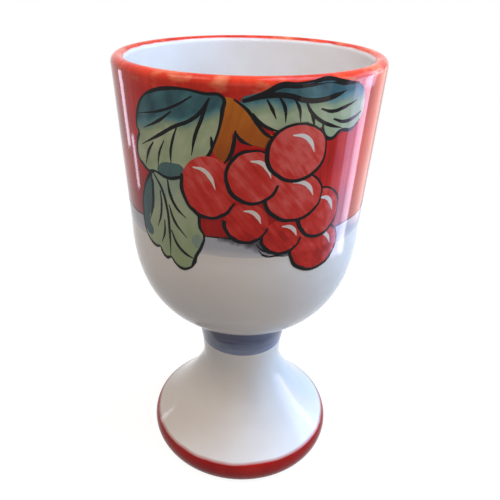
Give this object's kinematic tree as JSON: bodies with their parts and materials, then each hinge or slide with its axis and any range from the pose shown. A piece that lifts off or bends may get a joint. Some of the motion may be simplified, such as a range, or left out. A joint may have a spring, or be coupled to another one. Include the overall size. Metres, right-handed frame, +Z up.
{
  "type": "ceramic chalice",
  "caption": "Hand-painted glazed earthenware chalice with a deep tapered cup, a short waisted stem and a hollow flared foot, for wine or display.",
  "frame": {"origin": "centre of the foot ring, on the surface that the chalice stands on", "axes": "+Z up along the axis of the cup, -Y towards the viewer of the painted side, +X to that viewer's right"},
  "size_m": [0.085, 0.085, 0.1523],
  "materials": {
    "earthenware": "dry unglazed fired clay",
    "slip": "fired joining slip",
    "white_glaze": "glossy opaque white tin glaze",
    "red_glaze": "glossy hand-brushed red on tin glaze",
    "shadow_glaze": "glossy thin grey-blue wash on tin glaze",
    "stem_band_glaze": "glossy grey-blue band on tin glaze"
  },
  "bodies": {
    "root": {"bowl_clay": "earthenware", "pedestal_clay": "earthenware", "joint_slip": "slip", "lip_glaze": "red_glaze", "red_ground_glaze": "red_glaze", "shadow_band_glaze": "shadow_glaze", "bowl_glaze": "white_glaze", "collar_glaze": "white_glaze", "stem_band_glaze": "stem_band_glaze", "pedestal_glaze": "white_glaze", "foot_edge_glaze": "red_glaze", "cup_lining": "white_glaze", "foot_lining": "white_glaze"}
  },
  "joints": []
}
